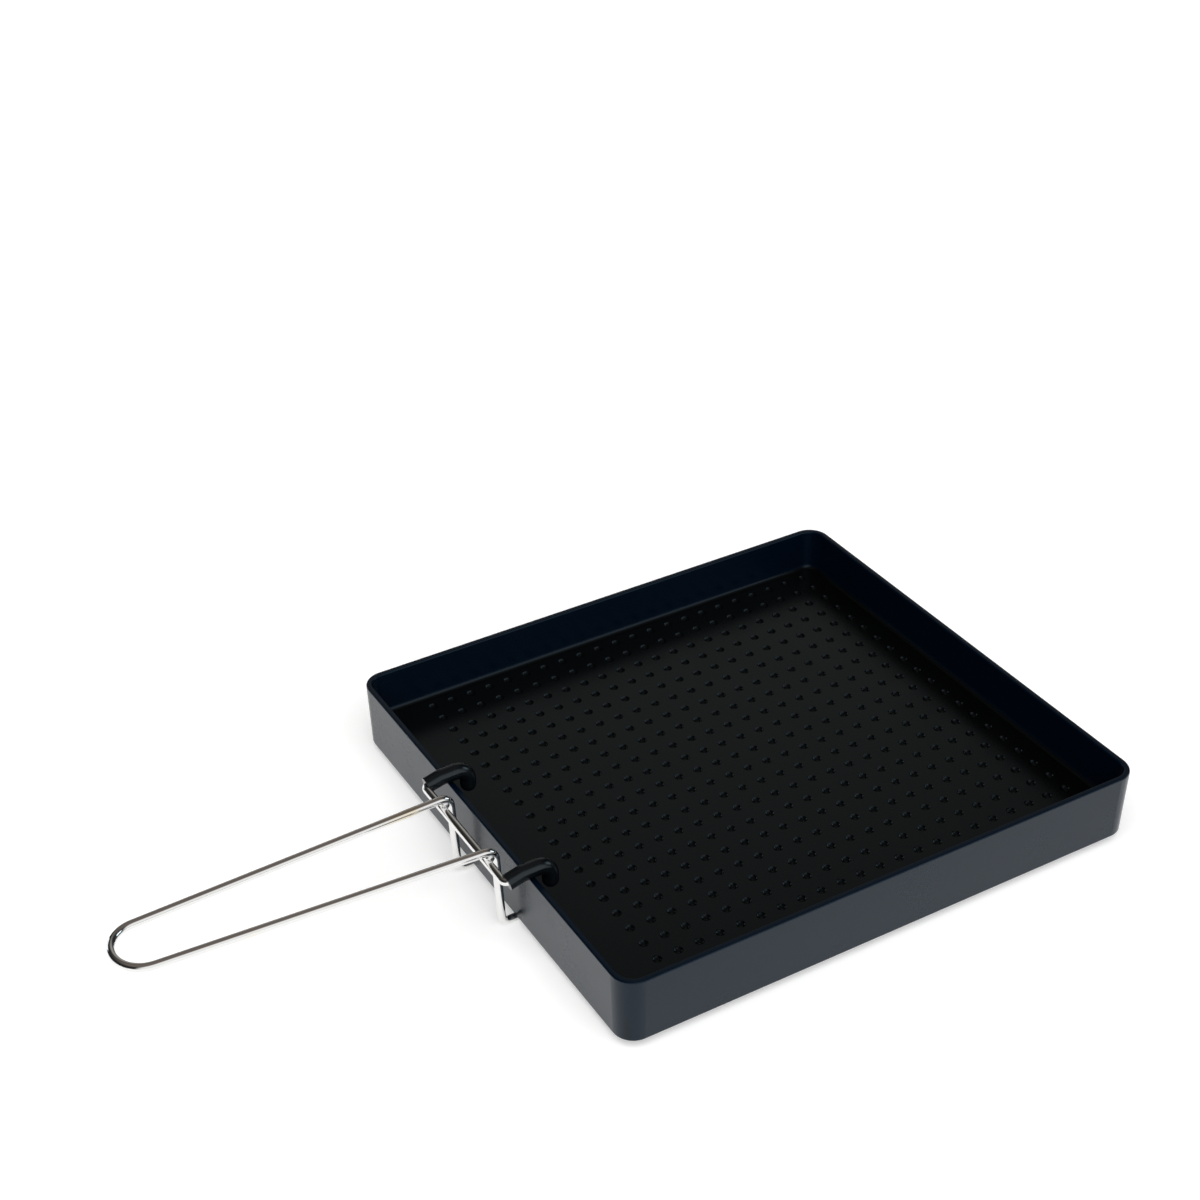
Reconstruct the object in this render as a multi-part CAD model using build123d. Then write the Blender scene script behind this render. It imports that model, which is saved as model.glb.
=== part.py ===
from build123d import *
import math
import os

# A rectangular grill pan with a dimpled cooking face and a clip-on wire handle.
# Millimetres. X runs across the pan, away from the handle, and Y runs along the handle's wall.
# Z is up. The origin is the centre of the cooking face, which is the pan's floor seen from above.
# Left and right are as seen by someone holding the handle and facing the pan.

# Pan body
PAN_LENGTH = 280.0
PAN_WIDTH = 258.0
PAN_HEIGHT = 35.0
PAN_CORNER_R = 11.0
WALL = 3.0
WALL_DRAFT = 1.0
RIM_ROUND = 0.8
BASE_ROUND = 1.0
FLOOR_RAISE = 12.0
FLOOR_THICKNESS = 4.0
COVE_R = 2.5

# Dimples in the cooking face, in a grid that leaves a wider plain strip beside the handle
DIMPLE_PITCH_X = 10.9
DIMPLE_PITCH_Y = 11.4
DIMPLE_COLUMNS = 22
DIMPLE_ROWS = 21
DIMPLE_CENTRE_X = 9.0
DIMPLE_CENTRE_Y = 3.0
DIMPLE_WIDTH = 4.6
DIMPLE_DEPTH = 1.3

# Wire handle: a long loop whose two legs turn in under the pan's lower edge
WIRE_D = 4.0
HANDLE_SHIFT_Y = -8.1
HANDLE_REACH = 178.0
HANDLE_RISE = 0.8
HANDLE_HALF_NEAR = 21.9
HANDLE_HALF_FAR = 13.9
BOW_FLAT = 0.15
LEG_BEND_R = 5.5
LEG_GAP = 5.2
LEG_LEAN = 2.0
FOOT_REACH = 4.0
FOOT_BEND_R = 4.0

# Cross wire with a hook at each end
HOOK_HALF_SPACING = 39.6
HOOK_CORNER_R = 3.0
HOOK_RISE = 2.1
HOOK_RISE_RUN = 8.5
HOOK_RISE_R = 8.0
HOOK_LIFT = 0.5
HOOK_INSET = 11.0
HOOK_BEND_R = 6.5
HOOK_DROP = 9.6

# Rubber sleeves on the hooks
SLEEVE_D = 7.8
SLEEVE_START = 1.0
BORE_CLEARANCE = 0.05

# Weld beads where the cross wire nests in the handle's bends
WELD_D = 5.4
NEST_GAP = 0.05

# Running gaps between the clip and the pan
RIM_GAP = 0.25
FOOT_GAP = 0.25

# Sizes that follow from the ones above
BASE_Z = -FLOOR_RAISE
RIM_Z = PAN_HEIGHT - FLOOR_RAISE
RECESS_HEIGHT = FLOOR_RAISE - FLOOR_THICKNESS
DRAFT_SLOPE = WALL_DRAFT / PAN_HEIGHT
DRAFT_ANGLE = math.degrees(math.atan(DRAFT_SLOPE))
WIRE_R = WIRE_D / 2
SLEEVE_R = SLEEVE_D / 2
HANDLE_WALL_X = -PAN_LENGTH / 2
HOOK_Z = RIM_Z + RIM_GAP + SLEEVE_R
CROSS_Z = HOOK_Z - HOOK_RISE
LEG_X = HANDLE_WALL_X - LEG_GAP - WIRE_R

# The cross wire touches the inside of each leg bend halfway round it
NEST_RADIUS = LEG_BEND_R - WIRE_D - NEST_GAP
NEST_OFFSET = LEG_BEND_R - NEST_RADIUS * math.cos(math.radians(45))
CROSS_X = LEG_X - NEST_OFFSET
HANDLE_Z = CROSS_Z + NEST_OFFSET


def drafted_block(length, width, corner_r, top_z, height):
    """Block with rounded corners that narrows downward by the pan's draft."""
    outline = Plane.XY.offset(top_z) * RectangleRounded(length, width, corner_r)
    return extrude(outline, amount=-height, taper=DRAFT_ANGLE)


def edges_at(body, height):
    """Edges of a body that lie flat at one height."""
    return body.edges().filter_by_position(Axis.Z, height, height)


def pan_cavity():
    """Space above the cooking face, with a small cove where the walls meet it."""
    length = PAN_LENGTH - 2 * WALL
    width = PAN_WIDTH - 2 * WALL
    space = drafted_block(length, width, PAN_CORNER_R - WALL, RIM_Z, RIM_Z)
    return fillet(edges_at(space, 0), COVE_R)


def pan_recess():
    """Shallow hollow under the floor that leaves a standing edge all round."""
    inset = 2 * (WALL + WALL_DRAFT - DRAFT_SLOPE * RECESS_HEIGHT)
    corner_r = PAN_CORNER_R - WALL
    top_z = BASE_Z + RECESS_HEIGHT
    return drafted_block(PAN_LENGTH - inset, PAN_WIDTH - inset, corner_r, top_z, RECESS_HEIGHT)


def dimple_tools():
    """Balls that each press one shallow dimple into the cooking face."""
    radius = (DIMPLE_WIDTH**2 / 4 + DIMPLE_DEPTH**2) / (2 * DIMPLE_DEPTH)
    grid = GridLocations(DIMPLE_PITCH_X, DIMPLE_PITCH_Y, DIMPLE_COLUMNS, DIMPLE_ROWS)
    centre = Pos(DIMPLE_CENTRE_X, DIMPLE_CENTRE_Y, radius - DIMPLE_DEPTH)
    return [place * centre * Sphere(radius) for place in grid]


def make_pan():
    """Pan body in one casting."""
    body = drafted_block(PAN_LENGTH, PAN_WIDTH, PAN_CORNER_R, RIM_Z, PAN_HEIGHT)
    body = fillet(edges_at(body, BASE_Z), BASE_ROUND)
    body = body - pan_cavity() - pan_recess()
    body = fillet(edges_at(body, RIM_Z), RIM_ROUND)
    return body - dimple_tools()


def with_mirror(points):
    """A run of points followed by its mirror image across the handle's middle."""
    mirror_image = [(x, 2 * HANDLE_SHIFT_Y - y, z) for x, y, z in reversed(points)]
    return points + mirror_image


def swept_rod(path, radius):
    """Round rod along a path."""
    start = Plane(origin=path @ 0, z_dir=path % 0)
    return sweep(start * Circle(radius), path=path)


def make_handle_wire():
    """Loop from one foot, up its leg, round the far bow and down to the other foot."""
    near_y = HANDLE_SHIFT_Y + HANDLE_HALF_NEAR
    far_y = HANDLE_SHIFT_Y + HANDLE_HALF_FAR
    foot_z = BASE_Z - FOOT_GAP - WIRE_R
    foot_tip_x = HANDLE_WALL_X + WALL_DRAFT + FOOT_REACH
    far_x = HANDLE_WALL_X - HANDLE_REACH
    taper = math.atan((near_y - far_y) / (LEG_X - far_x))
    bow_turn = math.radians(90) - taper
    bow_r = (HANDLE_HALF_FAR - BOW_FLAT) / math.tan(bow_turn / 2)
    points = [
        (foot_tip_x, near_y, foot_z),
        (LEG_X + LEG_LEAN, near_y, foot_z),
        (LEG_X, near_y, HANDLE_Z),
        (far_x, far_y, HANDLE_Z + HANDLE_RISE),
    ]
    radii = [FOOT_BEND_R, LEG_BEND_R, bow_r, bow_r, LEG_BEND_R, FOOT_BEND_R]
    return swept_rod(FilletPolyline(*with_mirror(points), radius=radii), WIRE_R)


def hook_points():
    """Corners of the left hook, from its inner end out to the cross wire."""
    hook_y = HANDLE_SHIFT_Y + HOOK_HALF_SPACING
    inner_x = HANDLE_WALL_X + HOOK_INSET
    top_z = HOOK_Z + HOOK_LIFT
    return [
        (inner_x, hook_y, top_z - HOOK_DROP),
        (inner_x, hook_y, top_z),
        (CROSS_X + HOOK_RISE_RUN, hook_y, HOOK_Z),
        (CROSS_X, hook_y, CROSS_Z),
    ]


def make_hook_rod(radius):
    """Rod of one radius along the cross wire and both of its hooks."""
    bends = [HOOK_BEND_R, HOOK_RISE_R, HOOK_CORNER_R, HOOK_CORNER_R, HOOK_RISE_R, HOOK_BEND_R]
    return swept_rod(FilletPolyline(*with_mirror(hook_points()), radius=bends), radius)


def sleeve_path():
    """Centre line of the left sleeve, from beside the hook's corner to its inner end."""
    inner_end, top_bend, rise, corner = [Vector(*point) for point in hook_points()]
    start = corner + (rise - corner).normalized() * SLEEVE_START
    return FilletPolyline(start, rise, top_bend, inner_end, radius=[HOOK_RISE_R, HOOK_BEND_R])


def make_left_sleeve():
    """Sleeve with a domed, closed inner end, and a bore that follows the hook's own bends."""
    path = sleeve_path()
    outside = swept_rod(path, SLEEVE_R) + Pos(path @ 1) * Sphere(SLEEVE_R)
    return outside - make_hook_rod(WIRE_R + BORE_CLEARANCE)


def make_left_weld(handle_wire, hook_wire):
    """Bead that fills the crossing of the left leg bend and the cross wire."""
    touch = (LEG_BEND_R - WIRE_R) * math.cos(math.radians(45))
    touch_x = LEG_X - LEG_BEND_R + touch
    touch_z = HANDLE_Z - LEG_BEND_R + touch
    bead = Pos(touch_x, HANDLE_SHIFT_Y + HANDLE_HALF_NEAR, touch_z) * Sphere(WELD_D / 2)
    return bead - handle_wire - hook_wire


def mirrored_across_handle(body):
    """The same piece on the other side of the handle's middle."""
    return mirror(body, about=Plane.XZ.offset(-HANDLE_SHIFT_Y))


def make_parts():
    """Every separate piece by name."""
    handle_wire = make_handle_wire()
    hook_wire = make_hook_rod(WIRE_R)
    left_sleeve = make_left_sleeve()
    left_weld = make_left_weld(handle_wire, hook_wire)
    return {
        "pan": make_pan(),
        "handle_wire": handle_wire,
        "hook_wire": hook_wire,
        "left_sleeve": left_sleeve,
        "right_sleeve": mirrored_across_handle(left_sleeve),
        "left_weld": left_weld,
        "right_weld": mirrored_across_handle(left_weld),
    }


os.makedirs("parts", exist_ok=True)
for name, shape in make_parts().items():
    export_step(shape, f"parts/{name}.step")
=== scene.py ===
import math

import bpy
from mathutils import Matrix, Vector


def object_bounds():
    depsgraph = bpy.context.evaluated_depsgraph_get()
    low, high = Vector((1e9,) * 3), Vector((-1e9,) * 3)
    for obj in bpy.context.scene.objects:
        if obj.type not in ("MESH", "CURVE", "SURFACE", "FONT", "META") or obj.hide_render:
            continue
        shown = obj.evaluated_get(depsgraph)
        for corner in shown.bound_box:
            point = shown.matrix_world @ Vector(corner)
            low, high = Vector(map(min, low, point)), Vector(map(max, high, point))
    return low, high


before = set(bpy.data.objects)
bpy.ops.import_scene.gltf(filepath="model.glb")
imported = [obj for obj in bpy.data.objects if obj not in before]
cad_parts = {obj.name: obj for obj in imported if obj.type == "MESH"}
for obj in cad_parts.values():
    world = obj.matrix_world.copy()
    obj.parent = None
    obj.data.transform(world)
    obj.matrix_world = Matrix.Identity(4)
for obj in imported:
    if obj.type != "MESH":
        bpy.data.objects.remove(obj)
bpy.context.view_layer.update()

# Camera of the photograph: place and directions in the part's own frame, in metres
CAMERA_PLACE = (-0.4624, -0.6698, 0.6339)
CAMERA_FORWARD = (0.3850, 0.7398, -0.5518)
CAMERA_RIGHT = (0.8762, -0.4809, -0.0335)
FOCAL_PIXELS = 2086.5
CENTRE_PIXEL_X = 520.0
FRAME_PIXELS = 1200.0
SENSOR_MM = 36.0
NEAREST_SEEN = 0.01
FARTHEST_SEEN = 100.0

# Studio floor: half its side in metres, its paint, and its glow for the camera and in reflections
FLOOR_HALF = 8.0
FLOOR_PAINT = 0.80
FLOOR_GLOW = 0.32

# World in reflections: a dark tone under patches of aim, first cosine, full cosine and colour
WORLD_TONE = (0.020, 0.021, 0.023)
WORLD_PATCHES = {
    "ceiling": ((0.0, 0.0, 1.0), 0.60, 0.95, (0.15, 0.125, 0.11)),
    "far side": ((0.46, 0.80, 0.46), 0.90, 0.99, (0.31, 0.295, 0.27)),
    "near side": ((0.05, -0.95, 0.20), 0.55, 0.85, (0.95, 0.95, 0.95)),
}

# Soft key light over the whole floor
KEY_TOWARD = (-0.35, -0.45, 1.0)
KEY_STRENGTH = 2.6
KEY_SOFTNESS = math.radians(70)

# Square lamps that the coating and the wires reflect: place and side in metres, watts, colour
LAMPS = {
    "back_left": ((-1.1, 2.2, 0.5), 0.9, 3.0, (0.92, 0.98, 1.0)),
    "right": ((2.0, -0.6, 1.0), 1.0, 5.0, (0.80, 0.93, 1.0)),
}

# Half lengths of a box whose sides run inside the pan's walls, and the heights the cove blends over
FACE_HALF_X = 0.1370
FACE_HALF_Y = 0.1260
COVE_LOW = 0.0004
COVE_HIGH = 0.0022

# Pairs of colours that each surface drifts between
# The blue in the walls' colours is a painted reflection of cool light on the near-black coating
WALL_COLOURS_PAINTED_BLUE = ((0.0003, 0.0026, 0.0075), (0.0006, 0.0036, 0.0092))
FACE_COLOURS = ((0.0006, 0.0007, 0.0007), (0.0013, 0.0014, 0.0013))
METAL_COLOURS = ((0.88, 0.88, 0.87), (0.80, 0.80, 0.79))
RUBBER_COLOURS = ((0.0014, 0.0022, 0.0030), (0.0024, 0.0036, 0.0046))

# Straw colour in places on the metal, a painted gold reflection, and tints of the coating's and the
# rubber's reflections
PAINTED_GOLD_REFLECTION = (0.82, 0.74, 0.58)
COATING_TINT = (0.50, 0.68, 0.84)
RUBBER_TINT = (0.78, 0.92, 1.0)
COATING_IOR = 1.42

# Noise scales, in waves per metre
COATING_CLOUDS = 30.0
COATING_FINE = 900.0
COATING_GRAIN = 2600.0
METAL_CLOUDS = 60.0
METAL_FINE = 1500.0
# Scale of the straw patches of painted gold reflection
METAL_GOLD_REFLECTION_PATCHES = 22.0
METAL_LUMPS = 400.0
RUBBER_CLOUDS = 120.0
RUBBER_FINE = 2000.0

# Noise values between which the clouds turn from smooth to rough, and the straw colour of the painted
# gold reflection comes in
CLOUD_LOW = 0.3
CLOUD_HIGH = 0.7
GOLD_REFLECTION_LOW = 0.60
GOLD_REFLECTION_HIGH = 0.74

# Roughness: lowest value, how far the clouds raise it, and what fine noise adds
COATING_ROUGHNESS = (0.20, 0.25)
COATING_FINE_ROUGHNESS = 0.05
WIRE_ROUGHNESS = 0.05
WELD_ROUGHNESS = 0.20
METAL_ROUGHNESS_TIMES = 1.6
METAL_FINE_ROUGHNESS = 0.03
RUBBER_ROUGHNESS = 0.18
RUBBER_ROUGHNESS_RISE = 0.08

# Heights of the surface relief, in metres
COATING_FINE_HEIGHT = 0.00003
COATING_GRAIN_HEIGHT = 0.00002
WIRE_LUMP_HEIGHT = 0.000003
WELD_LUMP_HEIGHT = 0.00008
RUBBER_FINE_HEIGHT = 0.00002


class Nodes:
    """Short helper that adds nodes to one tree and links them."""

    def __init__(self, tree):
        self.tree = tree
        tree.nodes.clear()

    def add(self, kind, inputs=None, **settings):
        """New node with its settings and its inputs, which are constants or sockets."""
        node = self.tree.nodes.new(kind)
        for name, value in settings.items():
            setattr(node, name, value)
        for name, value in (inputs or {}).items():
            self.put(node.inputs[name], value)
        return node

    def put(self, socket, value):
        """Links a socket into another, or sets it to a constant."""
        if isinstance(value, bpy.types.NodeSocket):
            self.tree.links.new(value, socket)
        else:
            socket.default_value = value

    def math(self, operation, first, second=0.0, clamp=False):
        """Result of one sum or comparison."""
        node = self.add("ShaderNodeMath", operation=operation, use_clamp=clamp)
        self.put(node.inputs[0], first)
        self.put(node.inputs[1], second)
        return node.outputs[0]

    def spread(self, value, low, high, to_low=0.0, to_high=1.0):
        """Value from low..high, smoothly to to_low..to_high."""
        ends = {"From Min": low, "From Max": high, "To Min": to_low, "To Max": to_high}
        node = self.add("ShaderNodeMapRange", ends, interpolation_type="SMOOTHSTEP")
        self.put(node.inputs["Value"], value)
        return node.outputs["Result"]

    def mix(self, share, first, second):
        """First colour where the share is zero, and the second where it is one."""
        node = self.add("ShaderNodeMix", data_type="RGBA")
        first_socket, second_socket = [s for s in node.inputs if s.type == "RGBA"]
        self.put(node.inputs["Factor"], share)
        self.put(first_socket, first)
        self.put(second_socket, second)
        return next(s for s in node.outputs if s.type == "RGBA")

    def drift(self, share, colours):
        """Blend of a pair of colours, from the first to the second."""
        first, second = colours
        return self.mix(share, rgb(*first), rgb(*second))

    def noise(self, place, scale, detail):
        """Cloudy value round one half."""
        inputs = {"Vector": place, "Scale": scale, "Detail": detail}
        return self.add("ShaderNodeTexNoise", inputs).outputs["Fac"]

    def bump(self, height, distance, strength=1.0, normal=None):
        """Normal of a surface raised by a height, by as much as the distance in metres."""
        inputs = {"Height": height, "Distance": distance, "Strength": strength}
        if normal is not None:
            inputs["Normal"] = normal
        return self.add("ShaderNodeBump", inputs).outputs["Normal"]

    def toward(self, direction, aim):
        """Cosine of the angle between a direction socket and a fixed aim."""
        node = self.add("ShaderNodeVectorMath", operation="DOT_PRODUCT")
        self.put(node.inputs[0], direction)
        self.put(node.inputs[1], Vector(aim).normalized())
        return node.outputs["Value"]


def rgb(red, green, blue):
    """Opaque colour."""
    return (red, green, blue, 1.0)


def grey(level):
    """Opaque grey, which is black at zero and white at one."""
    return rgb(level, level, level)


def make_camera():
    """Camera with the photograph's place, direction, roll and framing."""
    data = bpy.data.cameras.new("camera")
    data.sensor_width = SENSOR_MM
    data.lens = FOCAL_PIXELS / FRAME_PIXELS * SENSOR_MM
    data.shift_x = (FRAME_PIXELS / 2 - CENTRE_PIXEL_X) / FRAME_PIXELS
    data.clip_start = NEAREST_SEEN
    data.clip_end = FARTHEST_SEEN
    camera = bpy.data.objects.new("camera", data)
    bpy.context.scene.collection.objects.link(camera)
    forward = Vector(CAMERA_FORWARD).normalized()
    up = Vector(CAMERA_RIGHT).cross(forward).normalized()
    right = forward.cross(up)
    turn = Matrix((right, up, -forward)).transposed().to_4x4()
    camera.matrix_world = Matrix.Translation(CAMERA_PLACE) @ turn
    bpy.context.scene.camera = camera


def make_floor_paint():
    """White paint that takes shadows, and glows a little for the camera and in reflections."""
    material = bpy.data.materials.new("floor")
    material.use_nodes = True
    nodes = Nodes(material.node_tree)
    path = nodes.add("ShaderNodeLightPath")
    seen = nodes.math("ADD", path.outputs["Is Camera Ray"], path.outputs["Is Glossy Ray"])
    seen = nodes.math("ADD", seen, path.outputs["Is Transmission Ray"], clamp=True)
    paint = nodes.add("ShaderNodeBsdfDiffuse", {"Color": grey(FLOOR_PAINT)})
    glow = nodes.add("ShaderNodeEmission", {"Color": grey(1.0)})
    nodes.put(glow.inputs["Strength"], nodes.math("MULTIPLY", seen, FLOOR_GLOW))
    both = nodes.add("ShaderNodeAddShader")
    nodes.put(both.inputs[0], paint.outputs[0])
    nodes.put(both.inputs[1], glow.outputs[0])
    output = nodes.add("ShaderNodeOutputMaterial")
    nodes.put(output.inputs[0], both.outputs[0])
    return material


def make_floor():
    """Square floor at the height of the object's lowest point."""
    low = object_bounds()[0]
    mesh = bpy.data.meshes.new("floor")
    signs = ((-1, -1), (1, -1), (1, 1), (-1, 1))
    corners = [(x * FLOOR_HALF, y * FLOOR_HALF, low.z) for x, y in signs]
    mesh.from_pydata(corners, [], [(0, 1, 2, 3)])
    mesh.materials.append(make_floor_paint())
    floor = bpy.data.objects.new("floor", mesh)
    bpy.context.scene.collection.objects.link(floor)


def make_world():
    """Dim studio with brighter patches, which the camera itself sees as plain white."""
    world = bpy.data.worlds.new("studio")
    bpy.context.scene.world = world
    world.use_nodes = True
    nodes = Nodes(world.node_tree)
    direction = nodes.add("ShaderNodeTexCoord").outputs["Generated"]
    tone = rgb(*WORLD_TONE)
    for aim, first, full, colour in WORLD_PATCHES.values():
        share = nodes.spread(nodes.toward(direction, aim), first, full)
        tone = nodes.mix(share, tone, rgb(*colour))
    seen = nodes.add("ShaderNodeLightPath").outputs["Is Camera Ray"]
    tone = nodes.mix(seen, tone, grey(1.0))
    light = nodes.add("ShaderNodeBackground", {"Color": tone, "Strength": 1.0})
    output = nodes.add("ShaderNodeOutputWorld")
    nodes.put(output.inputs[0], light.outputs[0])


def add_key():
    """Even, soft light from above and behind the camera, kept out of reflections."""
    data = bpy.data.lights.new("key", "SUN")
    data.energy = KEY_STRENGTH
    data.angle = KEY_SOFTNESS
    lamp = bpy.data.objects.new("key", data)
    bpy.context.scene.collection.objects.link(lamp)
    lamp.rotation_euler = Vector(KEY_TOWARD).to_track_quat("Z", "Y").to_euler()
    lamp.visible_glossy = False


def add_lamp(name, place, side, watts, colour):
    """Soft square lamp aimed at the middle of the cooking face."""
    data = bpy.data.lights.new(name, "AREA")
    data.shape = "SQUARE"
    data.size = side
    data.energy = watts
    data.color = colour
    lamp = bpy.data.objects.new(name, data)
    bpy.context.scene.collection.objects.link(lamp)
    lamp.location = place
    lamp.rotation_euler = (-Vector(place)).to_track_quat("-Z", "Y").to_euler()


def new_material(name):
    """Material, its nodes, its one principled shader, and the place in the part's frame."""
    material = bpy.data.materials.new(name)
    material.use_nodes = True
    nodes = Nodes(material.node_tree)
    shader = nodes.add("ShaderNodeBsdfPrincipled")
    output = nodes.add("ShaderNodeOutputMaterial")
    nodes.put(output.inputs[0], shader.outputs[0])
    place = nodes.add("ShaderNodeTexCoord").outputs["Object"]
    return material, nodes, shader, place


def cooking_face_share(nodes, place):
    """One on the cooking face, in its dimples and beneath, and zero up the walls and outside them."""
    axes = nodes.add("ShaderNodeSeparateXYZ", {"Vector": place}).outputs
    past_x = nodes.math("SUBTRACT", nodes.math("ABSOLUTE", axes["X"]), FACE_HALF_X)
    past_y = nodes.math("SUBTRACT", nodes.math("ABSOLUTE", axes["Y"]), FACE_HALF_Y)
    inside = nodes.math("LESS_THAN", nodes.math("MAXIMUM", past_x, past_y), 0.0)
    low = nodes.spread(axes["Z"], COVE_LOW, COVE_HIGH, 1.0, 0.0)
    return nodes.math("MULTIPLY", inside, low)


def make_coating():
    """Satin dark coating: blue-black on the walls, where the blue is a painted reflection of cool
    light, and nearly neutral on the cooking face.
    """
    material, nodes, shader, place = new_material("coating")
    share = cooking_face_share(nodes, place)
    cloud = nodes.noise(place, COATING_CLOUDS, detail=4.0)
    fine = nodes.noise(place, COATING_FINE, detail=2.0)
    grain = nodes.noise(place, COATING_GRAIN, detail=2.0)
    # Painted blue reflection on the walls, and the coating's own near-black on the cooking face
    painted_blue_wall = nodes.drift(cloud, WALL_COLOURS_PAINTED_BLUE)
    face = nodes.drift(cloud, FACE_COLOURS)
    nodes.put(shader.inputs["Base Color"], nodes.mix(share, painted_blue_wall, face))
    rough = nodes.spread(cloud, CLOUD_LOW, CLOUD_HIGH, *COATING_ROUGHNESS)
    rough = nodes.math("ADD", rough, nodes.math("MULTIPLY", fine, COATING_FINE_ROUGHNESS))
    nodes.put(shader.inputs["Roughness"], rough)
    shader.inputs["IOR"].default_value = COATING_IOR
    shader.inputs["Specular Tint"].default_value = rgb(*COATING_TINT)
    surface = nodes.bump(grain, COATING_GRAIN_HEIGHT, strength=0.6)
    surface = nodes.bump(fine, COATING_FINE_HEIGHT, strength=0.5, normal=surface)
    nodes.put(shader.inputs["Normal"], surface)
    return material


def make_bright_metal(name, roughness, lump_height):
    """Plated steel, with a faint straw colour in places that is a painted gold reflection, and lumps
    of the height given.
    """
    material, nodes, shader, place = new_material(name)
    cloud = nodes.noise(place, METAL_CLOUDS, detail=3.0)
    fine = nodes.noise(place, METAL_FINE, detail=2.0)
    # Straw-coloured patches at random places: a painted gold reflection
    painted_gold_reflection = nodes.spread(nodes.noise(place, METAL_GOLD_REFLECTION_PATCHES, detail=2.0), GOLD_REFLECTION_LOW, GOLD_REFLECTION_HIGH)
    plain = nodes.drift(cloud, METAL_COLOURS)
    nodes.put(shader.inputs["Base Color"], nodes.mix(painted_gold_reflection, plain, rgb(*PAINTED_GOLD_REFLECTION)))
    shader.inputs["Metallic"].default_value = 1.0
    highest = roughness * METAL_ROUGHNESS_TIMES
    rough = nodes.spread(cloud, CLOUD_LOW, CLOUD_HIGH, roughness, highest)
    rough = nodes.math("ADD", rough, nodes.math("MULTIPLY", fine, METAL_FINE_ROUGHNESS))
    nodes.put(shader.inputs["Roughness"], rough)
    lumps = nodes.noise(place, METAL_LUMPS, detail=2.0)
    nodes.put(shader.inputs["Normal"], nodes.bump(lumps, lump_height))
    return material


def make_rubber():
    """Smooth black rubber with a slight cloudiness."""
    material, nodes, shader, place = new_material("sleeve_rubber")
    cloud = nodes.noise(place, RUBBER_CLOUDS, detail=3.0)
    fine = nodes.noise(place, RUBBER_FINE, detail=2.0)
    nodes.put(shader.inputs["Base Color"], nodes.drift(cloud, RUBBER_COLOURS))
    rough = nodes.math("MULTIPLY", cloud, RUBBER_ROUGHNESS_RISE)
    rough = nodes.math("ADD", rough, RUBBER_ROUGHNESS)
    nodes.put(shader.inputs["Roughness"], rough)
    shader.inputs["Specular Tint"].default_value = rgb(*RUBBER_TINT)
    nodes.put(shader.inputs["Normal"], nodes.bump(fine, RUBBER_FINE_HEIGHT, strength=0.5))
    return material


def dress(material, *names):
    """Gives CAD nodes their material."""
    for name in names:
        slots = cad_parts[name].data.materials
        slots.clear()
        slots.append(material)


make_camera()
make_floor()
make_world()
add_key()
for lamp_name, lamp_settings in LAMPS.items():
    add_lamp(lamp_name, *lamp_settings)

coating = make_coating()
wire_metal = make_bright_metal("bright_wire", WIRE_ROUGHNESS, WIRE_LUMP_HEIGHT)
weld_metal = make_bright_metal("weld_metal", WELD_ROUGHNESS, WELD_LUMP_HEIGHT)
rubber = make_rubber()
dress(coating, "pan")
dress(wire_metal, "handle_wire", "hook_wire")
dress(weld_metal, "left_weld", "right_weld")
dress(rubber, "left_sleeve", "right_sleeve")

bpy.context.scene.view_settings.view_transform = "Standard"
